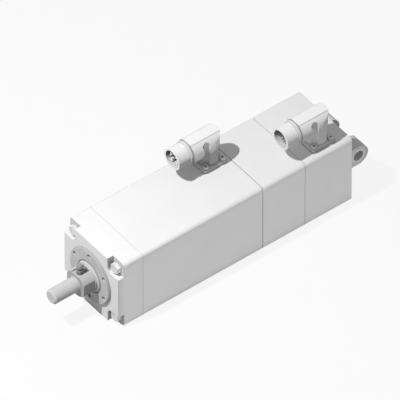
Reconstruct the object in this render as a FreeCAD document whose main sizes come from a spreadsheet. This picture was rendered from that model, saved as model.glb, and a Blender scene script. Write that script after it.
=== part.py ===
import FreeCAD, Part
import Sketcher
import math
import os

# Electric cylinder: a hollow-rotor servomotor drives a screw, whose nut pushes a piston rod.
# The origin is on the rod's axis, in the middle of the front flange's face.
# +X is the way the rod extends, +Z is up, and the two connectors stand on top.
# Stations along the cylinder are measured backwards from the flange's face, so x = -station.

SIZES = {
    # square body and its four blocks, front to rear
    "body_width": 85.0,
    "body_edge_radius": 4.0,
    "flange_length": 30.6,
    "stator_length": 148.1,
    "bearing_block_length": 52.6,
    "rear_cover_length": 58.7,
    "seam_chamfer": 0.5,
    "fine_seam_chamfer": 0.2,
    # front flange corners and their hexagon bolts
    "notch_size": 16.9,
    "notch_depth": 7.3,
    "notch_radius": 6.0,
    "flange_bolt_edge": 9.5,
    "flange_bolt_radius": 3.0,
    "flange_bolt_head_flats": 10.0,
    "flange_bolt_head_height": 5.0,
    "flange_bolt_grip": 17.0,
    # long bolts that hold the rear cover and the bearing block to the stator housing
    "tie_bolt_edge": 7.0,
    "tie_bolt_radius": 3.0,
    "tie_bolt_head_radius": 5.0,
    "tie_bolt_head_height": 6.0,
    "tie_bolt_recess": 7.0,
    "tie_bolt_grip": 15.0,
    "bolt_hole_clearance": 0.2,
    "socket_flats": 1.47,
    # gland that carries the rod's bush, seal and wiper
    "gland_radius": 31.0,
    "gland_proud": 2.7,
    "gland_collar_edge": 6.5,
    "gland_collar_length": 8.6,
    "gland_hole_circle": 53.0,
    "gland_hole_count": 6,
    "gland_hole_radius": 2.6,
    "gland_hole_depth": 10.0,
    "gland_relief": 1.0,
    "bush_wall": 3.0,
    "bush_length": 16.0,
    "seal_length": 6.0,
    "wiper_length": 5.0,
    "wiper_gap": 0.6,
    "wiper_lip": 1.6,
    # piston rod with its flats, top slot, stud and grease nipple
    "rod_radius": 15.0,
    "rod_reach": 19.4,
    "rod_bore_radius": 11.5,
    "rod_bore_start": 30.0,
    "rod_flats": 26.8,
    "rod_flat_length": 13.2,
    "rod_edge_chamfer": 0.8,
    "slot_width": 11.0,
    "slot_floor": 12.0,
    "stud_radius": 8.0,
    "stud_length": 30.6,
    "stud_tail_radius": 7.0,
    "stud_thread_depth": 16.0,
    "stud_chamfer": 1.5,
    "nipple_reach": 14.0,
    "nipple_flats": 7.0,
    "nipple_hex_height": 4.6,
    "nipple_neck_radius": 2.2,
    "nipple_neck_height": 1.6,
    "nipple_head_radius": 3.2,
    "nipple_head_height": 5.2,
    "nipple_thread_radius": 2.2,
    "nipple_thread_depth": 3.2,
    # screw and nut
    "screw_radius": 10.0,
    "screw_front": 38.0,
    "nut_gap": 2.0,
    "nut_length": 35.0,
    "nut_stop_gap": 2.0,
    "nut_spigot_radius": 13.0,
    "nut_spigot_length": 16.0,
    "running_clearance": 0.05,
    # rotor, stator and their windings
    "rotor_share": 0.588,
    "rotor_wall": 3.0,
    "rotor_front_gap": 0.7,
    "rotor_hub_inset": 6.7,
    "rotor_hub_length": 10.0,
    "rotor_hub_collar": 4.0,
    "magnet_thickness": 2.0,
    "magnet_count": 8,
    "magnet_gap_angle": 6.0,
    "air_gap": 0.5,
    "core_inset": 25.4,
    "core_length": 94.0,
    "stator_wall": 4.5,
    "slot_count": 12,
    "slot_opening": 2.4,
    "back_iron": 3.0,
    "tooth_depth": 1.0,
    "slot_half_width": 2.2,
    "slot_floor_half_width": 3.3,
    "winding_gap": 2.0,
    "winding_clearance": 2.0,
    "winding_length": 12.0,
    "winding_edge": 2.0,
    # front rotor bearing
    "front_bearing_height": 7.5,
    "front_bearing_width": 7.0,
    "front_bearing_lip": 3.0,
    "front_roller_count": 16,
    # rear bearing pair, its nut and its retaining ring
    "journal_radius": 12.5,
    "journal_shoulder_radius": 14.5,
    "rear_bearing_step": 1.0,
    "rear_bearing_width": 15.0,
    "rear_bearing_lip": 3.0,
    "rear_bearing_lip_height": 4.0,
    "rear_bearing_inset": 4.3,
    "retainer_step": 4.0,
    "rear_roller_count": 12,
    "rear_roller_tilt": 12.0,
    "rear_roller_taper": 2.0,
    "roller_share": 0.44,
    "roller_length_share": 0.6,
    "lock_nut_wall": 5.5,
    "lock_nut_length": 10.0,
    "retainer_lip": 4.5,
    "retainer_length": 8.0,
    # resolver behind the bearings
    "tail_radius": 6.0,
    "tail_length": 28.0,
    "resolver_inset": 4.7,
    "resolver_length": 14.0,
    "resolver_rotor_radius": 14.0,
    "resolver_gap": 0.8,
    "resolver_share": 0.61,
    "resolver_bracket_length": 5.0,
    "cover_side_wall": 8.5,
    "cover_wall": 18.0,
    # flat seal rings between the blocks
    "seal_ring_width": 2.4,
    "seal_ring_depth": 1.4,
    "seal_ring_inset": 1.4,
    # rear clevis
    "clevis_inset": 11.0,
    "clevis_gap": 27.0,
    "clevis_plate": 10.0,
    "clevis_plate_radius": 12.0,
    "clevis_pivot": 16.7,
    "clevis_nose_radius": 12.0,
    "clevis_root_height": 36.0,
    "clevis_bush_wall": 2.0,
    "pivot_radius": 6.0,
    "clevis_screw_edge": 10.0,
    "clevis_screw_radius": 3.0,
    "clevis_screw_head_radius": 5.0,
    "clevis_screw_head_height": 6.0,
    "clevis_screw_grip": 7.0,
    "screw_end_room": 0.5,
    # angled connectors
    "connector_axis_height": 27.5,
    "power_inset": 18.3,
    "signal_inset": 29.6,
    "connector_edge": 21.0,
    "connector_reach": 44.1,
    "connector_base_width": 28.5,
    "connector_base_radius": 2.5,
    "connector_base_height": 2.2,
    "gasket_height": 0.8,
    "connector_screw_offset": 10.35,
    "connector_screw_radius": 1.5,
    "connector_screw_head_radius": 2.75,
    "connector_screw_head_height": 3.0,
    "connector_screw_grip": 4.0,
    "elbow_radius": 13.4,
    "elbow_front": 18.0,
    "elbow_roof": 12.2,
    "elbow_corner_radius": 12.0,
    "post_radius": 11.5,
    "elbow_gap": 0.3,
    "elbow_bore_radius": 10.5,
    "elbow_bore_length": 12.0,
    "scallop_radius": 4.6,
    "scallop_top": 5.0,
    "spigot_radius": 8.0,
    "spigot_depth": 4.0,
    "wire_radius": 6.0,
    "swivel_ring_radius": 8.9,
    "swivel_ring_height": 1.2,
    "barrel_radius": 11.5,
    "barrel_rim": 0.35,
    "barrel_rim_length": 2.0,
    "barrel_bore_radius": 9.8,
    "collar_radius": 12.5,
    "collar_start": 14.5,
    "collar_gap": 0.3,
    "insert_length": 12.0,
    "insert_clearance": 0.05,
    "power_insert_depth": 8.0,
    "signal_insert_depth": 10.0,
    "power_contact_radius": 1.2,
    "small_contact_radius": 0.6,
    "power_contact_circle": 5.8,
    "signal_contact_circle": 6.4,
    "contact_length": 6.0,
    "contact_tail": 3.0,
    "signal_contact_count": 12,
}

SHEET_NAME = "Sizes"
FULL_TURN = 360.0
QUARTER_TURN = 90.0
OUT_DIR = "parts"


class Size:
    """A length that carries its expression on the sheet and its present number."""

    def __init__(self, text, number):
        self.text = text
        self.number = number

    def __add__(self, other):
        return combine(self, "+", other, self.number + number_of(other))

    def __radd__(self, other):
        return combine(other, "+", self, number_of(other) + self.number)

    def __sub__(self, other):
        return combine(self, "-", other, self.number - number_of(other))

    def __rsub__(self, other):
        return combine(other, "-", self, number_of(other) - self.number)

    def __mul__(self, other):
        return combine(self, "*", other, self.number * number_of(other))

    def __rmul__(self, other):
        return combine(other, "*", self, number_of(other) * self.number)

    def __truediv__(self, other):
        return combine(self, "/", other, self.number / number_of(other))

    def __neg__(self):
        return Size(f"(0 - {self.text})", -self.number)

    def sine(self):
        return Size(f"sin({self.text} * 1 deg)", math.sin(math.radians(self.number)))

    def cosine(self):
        return Size(f"cos({self.text} * 1 deg)", math.cos(math.radians(self.number)))


def number_of(item):
    return item.number if isinstance(item, Size) else float(item)


def text_of(item):
    return item.text if isinstance(item, Size) else repr(float(item))


def combine(first, sign, second, number):
    return Size(f"({text_of(first)} {sign} {text_of(second)})", number)


def plain(number):
    """A fixed number in the form that the sketches and primitives take."""
    return Size(repr(float(number)), float(number))


def make_sheet(document):
    sheet = document.addObject("Spreadsheet::Sheet", SHEET_NAME)
    for row, (alias, number) in enumerate(SIZES.items(), start=1):
        sheet.set(f"A{row}", alias)
        sheet.set(f"B{row}", str(number))
        sheet.setAlias(f"B{row}", alias)
    document.recompute()
    return sheet


class SheetSizes:
    """Gives each alias of the sheet as a Size, by name."""

    def __init__(self, sheet):
        self.sheet = sheet

    def __getattr__(self, alias):
        return Size(f"{SHEET_NAME}.{alias}", float(self.sheet.get(alias)))


doc = FreeCAD.newDocument("ElectricCylinder")
s = SheetSizes(make_sheet(doc))

# Stations and radii that follow from the driving sizes
HALF = s.body_width / 2
NOTCH_START = HALF - s.notch_size
FLANGE_BOLT_OFFSET = HALF - s.flange_bolt_edge
TIE_BOLT_OFFSET = HALF - s.tie_bolt_edge
COLLAR_RADIUS = HALF - s.gland_collar_edge
STATOR_BORE = HALF - s.stator_wall
COVER_CAVITY = HALF - s.cover_side_wall
CLEVIS_HALF = HALF - s.clevis_inset
CLEVIS_SCREW_OFFSET = CLEVIS_HALF - s.clevis_screw_edge
CONNECTOR_SIDE = HALF - s.connector_edge
STATOR_START = s.flange_length
STATOR_END = STATOR_START + s.stator_length
BEARING_END = STATOR_END + s.bearing_block_length
REAR_FACE = BEARING_END + s.rear_cover_length
BEARING_SEAT_START = STATOR_END + s.rear_bearing_lip + s.rear_bearing_inset
BEARING_SEAT_END = BEARING_SEAT_START + s.rear_bearing_width * 2
HUB_START = STATOR_END - s.rotor_hub_inset
HUB_END = HUB_START + s.rotor_hub_length
NUT_END = HUB_START - s.nut_stop_gap
ROD_REAR = NUT_END - s.nut_length
BUSH_RADIUS = s.rod_radius + s.bush_wall
ROTOR_RADIUS = HALF * s.rotor_share
ROTOR_BORE = ROTOR_RADIUS - s.rotor_wall
NUT_RADIUS = ROTOR_BORE - s.nut_gap
FRONT_BEARING_RADIUS = ROTOR_RADIUS + s.front_bearing_height
REAR_BEARING_RADIUS = ROTOR_RADIUS + s.rear_bearing_step
REAR_CAVITY = REAR_BEARING_RADIUS + s.retainer_step
RESOLVER_RADIUS = HALF * s.resolver_share
MAGNET_RADIUS = ROTOR_RADIUS + s.magnet_thickness
CORE_BORE = MAGNET_RADIUS + s.air_gap
CORE_START = STATOR_START + s.core_inset
CORE_END = CORE_START + s.core_length
POWER_STATION = STATOR_END - s.power_inset
SIGNAL_STATION = BEARING_END + s.signal_inset
BASE_BOTTOM = HALF + s.gasket_height
BASE_TOP = BASE_BOTTOM + s.connector_base_height
AXIS_HEIGHT = HALF + s.connector_axis_height
ROD_CLEAR_RADIUS = s.rod_radius + s.running_clearance
CAVITY_END = REAR_FACE - s.cover_wall
PLATE_START = REAR_FACE - s.clevis_plate


def bind(item, path, size):
    item.setExpression(path, text_of(size))


def settle(feature):
    """Recompute the document and stop at once if the new feature or its sketch failed."""
    doc.recompute()
    for item in [feature] + feature.OutList:
        if "Invalid" in item.State or "Error" in item.State:
            raise RuntimeError(f"{item.Label} failed: {item.State}")
    return feature


# Sketches and PartDesign features

def new_body(label):
    body = doc.addObject("PartDesign::Body", label)
    body.Label = label
    return body


def origin_item(body, role):
    return next(item for item in body.Origin.OriginFeatures if item.Role == role)


def new_sketch(body, role, offset=0.0):
    sketch = body.newObject("Sketcher::SketchObject", "Sketch")
    sketch.AttachmentSupport = [(origin_item(body, role), "")]
    sketch.MapMode = "FlatFace"
    bind(sketch, "AttachmentOffset.Base.z", offset)
    return sketch


def fix_distance(sketch, kind, geometry, position, size):
    """Hold one coordinate of a point, measured from the sketch's origin."""
    constraint = Sketcher.Constraint(kind, -1, 1, geometry, position, number_of(size))
    index = sketch.addConstraint(constraint)
    sketch.setExpression(f"Constraints[{index}]", text_of(size))


def fix_point(sketch, geometry, position, point):
    fix_distance(sketch, "DistanceX", geometry, position, point[0])
    fix_distance(sketch, "DistanceY", geometry, position, point[1])


def draw_polygon(sketch, points):
    corners = [FreeCAD.Vector(number_of(u), number_of(v), 0) for u, v in points]
    count = len(corners)
    first = sketch.GeometryCount
    for index in range(count):
        sketch.addGeometry(Part.LineSegment(corners[index], corners[(index + 1) % count]), False)
    for index in range(count):
        following = first + (index + 1) % count
        sketch.addConstraint(Sketcher.Constraint("Coincident", first + index, 2, following, 1))
    for index, point in enumerate(points):
        fix_point(sketch, first + index, 1, point)


def draw_circle(sketch, centre, radius):
    middle = FreeCAD.Vector(number_of(centre[0]), number_of(centre[1]), 0)
    circle = Part.Circle(middle, FreeCAD.Vector(0, 0, 1), number_of(radius))
    geometry = sketch.addGeometry(circle, False)
    fix_point(sketch, geometry, 3, centre)
    index = sketch.addConstraint(Sketcher.Constraint("Radius", geometry, number_of(radius)))
    sketch.setExpression(f"Constraints[{index}]", text_of(radius))


def draw_rectangle(sketch, low, high):
    draw_polygon(sketch, [low, (high[0], low[1]), high, (low[0], high[1])])


def draw_square(sketch, half):
    draw_rectangle(sketch, (-half, -half), (half, half))


def add_feature(body, kind, sketch, length, reverse=False, symmetric=False):
    feature = body.newObject(kind, kind.split("::")[1])
    feature.Profile = sketch
    if symmetric:
        feature.SideType = "Symmetric"
    feature.Reversed = reverse
    bind(feature, "Length", length)
    return settle(feature)


def add_pad(body, sketch, length, **options):
    return add_feature(body, "PartDesign::Pad", sketch, length, **options)


def add_pocket(body, sketch, length, **options):
    """Cut a sketch into the body; one that removes nothing is an error."""
    before = body.Shape.Volume
    pocket = add_feature(body, "PartDesign::Pocket", sketch, length, **options)
    if body.Shape.Volume > before - 1e-6:
        raise RuntimeError(f"a pocket of {body.Label} cuts nothing")
    return pocket


def add_turn(body, kind, outline):
    """Revolve an outline of (station, radius) points about the rod's axis."""
    sketch = new_sketch(body, "XZ_Plane")
    draw_polygon(sketch, [(-station, radius) for station, radius in outline])
    feature = body.newObject(kind, kind.split("::")[1])
    feature.Profile = sketch
    feature.ReferenceAxis = (sketch, ["H_Axis"])
    feature.Angle = FULL_TURN
    return settle(feature)


def add_groove(body, outline):
    before = body.Shape.Volume
    groove = add_turn(body, "PartDesign::Groove", outline)
    if body.Shape.Volume > before - 1e-6:
        raise RuntimeError(f"a groove of {body.Label} cuts nothing")
    return groove


def turned(label, outline):
    body = new_body(label)
    add_turn(body, "PartDesign::Revolution", outline)
    return body


def ring(label, start, length, inner, outer):
    return turned(label, ring_outline(start, start + length, inner, outer))


def ring_outline(start, end, inner, outer):
    return [(start, inner), (end, inner), (end, outer), (start, outer)]


def round_edges(body, kind, size_name, size, chosen):
    """Fillet or chamfer the edges of the body's tip for which chosen(edge) is true."""
    feature = body.Tip
    names = [f"Edge{n}" for n, edge in enumerate(feature.Shape.Edges, start=1) if chosen(edge)]
    if not names:
        raise RuntimeError(f"no edge of {body.Label} is chosen")
    dressed = body.newObject(kind, kind.split("::")[1])
    dressed.Base = (feature, names)
    bind(dressed, size_name, size)
    return settle(dressed)


def fillet(body, radius, chosen):
    return round_edges(body, "PartDesign::Fillet", "Radius", radius, chosen)


def chamfer(body, size, chosen):
    return round_edges(body, "PartDesign::Chamfer", "Size", size, chosen)


def runs_along(edge, axis):
    """True for a straight edge parallel to the named axis."""
    if edge.Curve.TypeId != "Part::GeomLine":
        return False
    direction = edge.Curve.Direction
    return abs(abs(getattr(direction, axis)) - 1) < 1e-6


def on_station(edge, station):
    """True for an edge that lies wholly in the plane x = -station."""
    box = edge.BoundBox
    place = -number_of(station)
    return abs(box.XMin - place) < 1e-4 and abs(box.XMax - place) < 1e-4


def reaches(edge, half):
    """True for an edge that touches the outside of the square body."""
    box = edge.BoundBox
    extent = max(abs(box.YMin), abs(box.YMax), abs(box.ZMin), abs(box.ZMax))
    return abs(extent - number_of(half)) < 1e-4


def is_outer_rim(edge, station, half, radius):
    """True for the rounded square's own rim at a station, without holes in its face."""
    if not on_station(edge, station):
        return False
    middle = edge.CenterOfMass
    corner = number_of(half) - number_of(radius)
    return max(abs(middle.y), abs(middle.z)) > corner - 1e-3 and reaches(edge, half)


def repeat_turning(body, features, count):
    """Repeat features evenly about the rod's axis and make the pattern the body's tip."""
    before = body.Shape.Volume
    pattern = body.newObject("PartDesign::PolarPattern", "PolarPattern")
    pattern.Originals = features
    pattern.Axis = (origin_item(body, "X_Axis"), [""])
    pattern.Angle = FULL_TURN
    if isinstance(count, Size):
        bind(pattern, "Occurrences", count)
    else:
        pattern.Occurrences = count
    body.Tip = pattern
    settle(pattern)
    if abs(body.Shape.Volume - before) < 1e-6:
        raise RuntimeError(f"a pattern of {body.Label} adds nothing")
    return pattern


def square_block(label, start, length):
    """A length of the square body with rounded long edges."""
    body = new_body(label)
    sketch = new_sketch(body, "YZ_Plane", -start)
    draw_square(sketch, HALF)
    add_pad(body, sketch, length, reverse=True)
    fillet(body, s.body_edge_radius, lambda edge: runs_along(edge, "x"))
    return body


def chamfer_rim(body, station, size):
    chamfer(body, size, lambda edge: is_outer_rim(edge, station, HALF, s.body_edge_radius))


def corner_places(offset):
    return [(offset * a, offset * b) for a, b in ((1, 1), (1, -1), (-1, 1), (-1, -1))]


def corner_holes(body, start, depth, offset, radius):
    """Four round holes on the body's diagonals, drilled backwards from a station."""
    return round_holes(body, "YZ_Plane", -start, corner_places(offset), radius, depth)


def round_holes(body, role, offset, centres, radius, depth):
    sketch = new_sketch(body, role, offset)
    for centre in centres:
        draw_circle(sketch, centre, radius)
    return add_pocket(body, sketch, depth)


# Primitives and booleans

def set_base(item, x, y, z):
    for axis, size in zip("xyz", (x, y, z)):
        bind(item, f"Placement.Base.{axis}", size)


TURNS = {
    "+z": FreeCAD.Rotation(),
    "-z": FreeCAD.Rotation(FreeCAD.Vector(1, 0, 0), 180),
    "+x": FreeCAD.Rotation(FreeCAD.Vector(0, 1, 0), 90),
    "-x": FreeCAD.Rotation(FreeCAD.Vector(0, 1, 0), -90),
    "+y": FreeCAD.Rotation(FreeCAD.Vector(1, 0, 0), -90),
}


def place(item, base, direction):
    """Stand a primitive on base, pointing in a direction."""
    item.Placement = FreeCAD.Placement(FreeCAD.Vector(), TURNS[direction])
    set_base(item, *base)
    return item


def cylinder(radius, length, base, direction="+z"):
    item = doc.addObject("Part::Cylinder", "Cylinder")
    bind(item, "Radius", radius)
    bind(item, "Height", length)
    return place(item, base, direction)


def cone(first_radius, second_radius, length, base, direction="+z"):
    item = doc.addObject("Part::Cone", "Cone")
    bind(item, "Radius1", first_radius)
    bind(item, "Radius2", second_radius)
    bind(item, "Height", length)
    return place(item, base, direction)


def ball(radius, centre):
    item = doc.addObject("Part::Sphere", "Sphere")
    bind(item, "Radius", radius)
    return place(item, centre, "+z")


def hexagon(flats, length, base, direction="+z"):
    item = doc.addObject("Part::Prism", "Prism")
    item.Polygon = 6
    bind(item, "Circumradius", flats / math.sqrt(3))
    bind(item, "Height", length)
    return place(item, base, direction)


def block(length, width, height, corner):
    item = doc.addObject("Part::Box", "Box")
    bind(item, "Length", length)
    bind(item, "Width", width)
    bind(item, "Height", height)
    return place(item, corner, "+z")


def fused(*items):
    result = doc.addObject("Part::MultiFuse", "Fusion")
    result.Shapes = list(items)
    result.Refine = True
    return result


def cut(base, *tools):
    result = doc.addObject("Part::Cut", "Cut")
    result.Base = base
    result.Tool = tools[0] if len(tools) == 1 else fused(*tools)
    return result


def common(first, second):
    result = doc.addObject("Part::Common", "Common")
    result.Base = first
    result.Tool = second
    return result


def group(*items):
    result = doc.addObject("Part::Compound", "Group")
    result.Links = list(items)
    return result


def named(label, item):
    item.Label = label
    return item


# Square housing blocks, front to rear

def front_flange():
    body = square_block("front_flange", plain(0), s.flange_length)
    chamfer_rim(body, STATOR_START, s.fine_seam_chamfer)
    notch = new_sketch(body, "YZ_Plane", plain(0))
    far = HALF + 1
    draw_rectangle(notch, (NOTCH_START, NOTCH_START), (far, far))
    pocket = add_pocket(body, notch, s.notch_depth)
    repeat_turning(body, [pocket], 4)
    inner = number_of(NOTCH_START)
    fillet(body, s.notch_radius, lambda edge: runs_along(edge, "x") and is_notch_corner(edge, inner))
    collar_start = STATOR_START - s.gland_collar_length
    add_groove(body, ring_outline(plain(-1), collar_start, plain(0), s.gland_radius))
    add_groove(body, ring_outline(collar_start, STATOR_START + 1, plain(0), COLLAR_RADIUS))
    hole = s.flange_bolt_radius + s.bolt_hole_clearance
    corner_holes(body, plain(0), s.flange_length + 1, FLANGE_BOLT_OFFSET, hole)
    return body


def is_notch_corner(edge, inner):
    middle = edge.CenterOfMass
    return abs(abs(middle.y) - inner) < 1e-3 and abs(abs(middle.z) - inner) < 1e-3


def stator_housing():
    body = square_block("stator_housing", STATOR_START, s.stator_length)
    chamfer_rim(body, STATOR_START, s.fine_seam_chamfer)
    chamfer_rim(body, STATOR_END, s.seam_chamfer)
    seat_end = STATOR_START + s.front_bearing_width
    lip_end = seat_end + s.front_bearing_lip
    lip_radius = FRONT_BEARING_RADIUS - s.front_bearing_lip
    add_groove(body, [
        (STATOR_START - 1, plain(0)),
        (STATOR_END + 1, plain(0)),
        (STATOR_END + 1, STATOR_BORE),
        (lip_end, STATOR_BORE),
        (lip_end, lip_radius),
        (seat_end, lip_radius),
        (seat_end, FRONT_BEARING_RADIUS),
        (STATOR_START - 1, FRONT_BEARING_RADIUS),
    ])
    groove_start = STATOR_END - s.seal_ring_depth
    inner, outer = seal_ring_radii(STATOR_BORE)
    add_groove(body, ring_outline(groove_start, STATOR_END + 1, inner, outer))
    front_hole = s.flange_bolt_radius + s.bolt_hole_clearance
    corner_holes(body, STATOR_START, s.flange_bolt_grip + 1, FLANGE_BOLT_OFFSET, front_hole)
    tie_hole = s.tie_bolt_radius + s.bolt_hole_clearance
    start = STATOR_END - s.tie_bolt_grip - 1
    corner_holes(body, start, s.tie_bolt_grip + 2, TIE_BOLT_OFFSET, tie_hole)
    connector_holes(body, POWER_STATION, -CONNECTOR_SIDE, STATOR_BORE)
    return body


def seal_ring_radii(bore):
    inner = bore + s.seal_ring_inset
    return inner, inner + s.seal_ring_width


def connector_holes(body, station, side, cavity_radius):
    """Wire way, swivel recess and screw holes in the top face under a connector."""
    middle = (-station, side)
    through = HALF - cavity_radius / 2
    round_holes(body, "XY_Plane", HALF, [middle], s.wire_radius, through)
    recess = s.swivel_ring_radius + s.elbow_gap
    round_holes(body, "XY_Plane", HALF, [middle], recess, s.spigot_depth + s.elbow_gap)
    centres = [(middle[0] + dx, middle[1] + dy) for dx, dy in screw_offsets()]
    hole = s.connector_screw_radius + s.bolt_hole_clearance / 2
    round_holes(body, "XY_Plane", HALF, centres, hole, s.connector_screw_grip + s.bolt_hole_clearance)


def screw_offsets():
    return corner_places(s.connector_screw_offset)


def bearing_housing():
    body = square_block("bearing_housing", STATOR_END, s.bearing_block_length)
    chamfer_rim(body, STATOR_END, s.seam_chamfer)
    chamfer_rim(body, BEARING_END, s.fine_seam_chamfer)
    lip_start = BEARING_SEAT_START - s.rear_bearing_lip
    lip_radius = REAR_BEARING_RADIUS - s.rear_bearing_lip_height
    add_groove(body, [
        (STATOR_END - 1, plain(0)),
        (BEARING_END + 1, plain(0)),
        (BEARING_END + 1, REAR_CAVITY),
        (BEARING_SEAT_END, REAR_CAVITY),
        (BEARING_SEAT_END, REAR_BEARING_RADIUS),
        (BEARING_SEAT_START, REAR_BEARING_RADIUS),
        (BEARING_SEAT_START, lip_radius),
        (lip_start, lip_radius),
        (lip_start, REAR_CAVITY),
        (STATOR_END - 1, REAR_CAVITY),
    ])
    inner, outer = seal_ring_radii(COVER_CAVITY)
    groove_start = BEARING_END - s.seal_ring_depth
    add_groove(body, ring_outline(groove_start, BEARING_END + 1, inner, outer))
    hole = s.tie_bolt_radius + s.bolt_hole_clearance
    corner_holes(body, STATOR_END - 1, s.bearing_block_length + 2, TIE_BOLT_OFFSET, hole)
    return body


def rear_cover():
    body = square_block("rear_cover", BEARING_END, s.rear_cover_length)
    chamfer_rim(body, BEARING_END, s.fine_seam_chamfer)
    chamfer_rim(body, REAR_FACE, s.seam_chamfer)
    add_groove(body, ring_outline(BEARING_END - 1, CAVITY_END, plain(0), COVER_CAVITY))
    recess = new_sketch(body, "YZ_Plane", -PLATE_START)
    draw_square(recess, CLEVIS_HALF)
    add_pocket(body, recess, s.clevis_plate + 1)
    half = CLEVIS_HALF.number
    fillet(body, s.clevis_plate_radius,
           lambda edge: runs_along(edge, "x") and is_notch_corner(edge, half))
    hole = s.tie_bolt_radius + s.bolt_hole_clearance
    corner_holes(body, BEARING_END - 1, s.rear_cover_length + 2, TIE_BOLT_OFFSET, hole)
    head = s.tie_bolt_head_radius + s.bolt_hole_clearance
    corner_holes(body, REAR_FACE - s.tie_bolt_recess, s.tie_bolt_recess + 1, TIE_BOLT_OFFSET, head)
    thread = s.clevis_screw_radius + s.bolt_hole_clearance
    depth = s.clevis_screw_grip + s.screw_end_room
    corner_holes(body, PLATE_START - depth, depth + 1, CLEVIS_SCREW_OFFSET, thread)
    connector_holes(body, SIGNAL_STATION, CONNECTOR_SIDE, COVER_CAVITY)
    return body


def seal_rings():
    inner, outer = seal_ring_radii(STATOR_BORE)
    ring("stator_seal_ring", STATOR_END - s.seal_ring_depth, s.seal_ring_depth, inner, outer)
    inner, outer = seal_ring_radii(COVER_CAVITY)
    ring("rear_cover_seal_ring", BEARING_END - s.seal_ring_depth, s.seal_ring_depth, inner, outer)


# Rear clevis: a plate let into the rear cover and two ears with a pivot bore

def rear_clevis():
    body = new_body("rear_clevis")
    plate = new_sketch(body, "YZ_Plane", -PLATE_START)
    draw_square(plate, CLEVIS_HALF)
    add_pad(body, plate, s.clevis_plate, reverse=True)
    fillet(body, s.clevis_plate_radius, lambda edge: runs_along(edge, "x"))
    ears = new_sketch(body, "XZ_Plane")
    draw_ear(ears)
    add_pad(body, ears, CLEVIS_HALF * 2, symmetric=True)
    gap = new_sketch(body, "XY_Plane", -s.clevis_root_height)
    tip = REAR_FACE + s.clevis_pivot + s.clevis_nose_radius
    draw_rectangle(gap, (-tip - 1, -s.clevis_gap / 2), (-REAR_FACE, s.clevis_gap / 2))
    add_pocket(body, gap, s.clevis_root_height * 2, reverse=True)
    bore = new_sketch(body, "XZ_Plane")
    bush_outer = s.pivot_radius + s.clevis_bush_wall
    draw_circle(bore, (-(REAR_FACE + s.clevis_pivot), plain(0)), bush_outer)
    add_pocket(body, bore, CLEVIS_HALF * 2 + 2, symmetric=True)
    hole = s.clevis_screw_radius + s.bolt_hole_clearance
    corner_holes(body, PLATE_START - 1, s.clevis_plate + 2, CLEVIS_SCREW_OFFSET, hole)
    head = s.clevis_screw_head_radius + s.bolt_hole_clearance
    corner_holes(body, REAR_FACE - s.clevis_screw_head_height, s.clevis_screw_head_height + 1,
                 CLEVIS_SCREW_OFFSET, head)
    return body


def draw_ear(sketch):
    """Side view of an ear: straight flanks that run from the plate to the round nose."""
    centre = -(REAR_FACE + s.clevis_pivot)
    nose = s.clevis_nose_radius
    root = -REAR_FACE
    middle = FreeCAD.Vector(centre.number, 0, 0)
    circle = Part.Circle(middle, FreeCAD.Vector(0, 0, 1), nose.number)
    arc = Part.ArcOfCircle(circle, math.radians(QUARTER_TURN), math.radians(3 * QUARTER_TURN))
    sketch.addGeometry(arc, False)
    low = FreeCAD.Vector(root.number, -nose.number, 0)
    high = FreeCAD.Vector(root.number, nose.number, 0)
    arc_low = FreeCAD.Vector(centre.number, -nose.number, 0)
    arc_high = FreeCAD.Vector(centre.number, nose.number, 0)
    sketch.addGeometry(Part.LineSegment(arc_low, low), False)
    sketch.addGeometry(Part.LineSegment(low, high), False)
    sketch.addGeometry(Part.LineSegment(high, arc_high), False)
    fix_point(sketch, 0, 3, (centre, plain(0)))
    fix_point(sketch, 0, 1, (centre, nose))
    fix_distance(sketch, "DistanceX", 0, 2, centre)
    sketch.addConstraint(Sketcher.Constraint("Coincident", 0, 2, 1, 1))
    sketch.addConstraint(Sketcher.Constraint("Coincident", 1, 2, 2, 1))
    sketch.addConstraint(Sketcher.Constraint("Coincident", 2, 2, 3, 1))
    sketch.addConstraint(Sketcher.Constraint("Coincident", 3, 2, 0, 1))
    fix_point(sketch, 2, 1, (root, -nose))
    fix_point(sketch, 2, 2, (root, nose))


def clevis_bushes():
    pivot = -(REAR_FACE + s.clevis_pivot)
    ear = CLEVIS_HALF - s.clevis_gap / 2
    bushes = []
    for start in (-CLEVIS_HALF, s.clevis_gap / 2):
        outer = cylinder(s.pivot_radius + s.clevis_bush_wall, ear, (pivot, start, plain(0)), "+y")
        inner = cylinder(s.pivot_radius, ear + 2, (pivot, start - 1, plain(0)), "+y")
        bushes.append(cut(outer, inner))
    named("clevis_bushes", group(*bushes))


# Screws and bolts, each group in one node

def socket_screw(base, direction, head_radius, head_height, shank_radius, shank_length):
    """A socket screw whose head stands on base and whose shank runs the other way."""
    head = cylinder(head_radius, head_height, base, direction)
    opposite = {"+z": "-z", "-x": "+x"}[direction]
    shank = cylinder(shank_radius, shank_length, base, opposite)
    socket_depth = head_height / 2
    reach = head_height - socket_depth
    if direction == "+z":
        socket_base = (base[0], base[1], base[2] + reach)
    else:
        socket_base = (base[0] - reach, base[1], base[2])
    socket = hexagon(shank_radius * s.socket_flats, socket_depth + 1, socket_base, direction)
    return cut(fused(head, shank), socket)


def flange_bolts():
    bolts = []
    for y, z in corner_places(FLANGE_BOLT_OFFSET):
        base = (-s.notch_depth, y, z)
        head = hexagon(s.flange_bolt_head_flats, s.flange_bolt_head_height, base, "+x")
        length = STATOR_START - s.notch_depth + s.flange_bolt_grip
        shank = cylinder(s.flange_bolt_radius, length, base, "-x")
        bolts.append(fused(head, shank))
    named("flange_bolts", group(*bolts))


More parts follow.
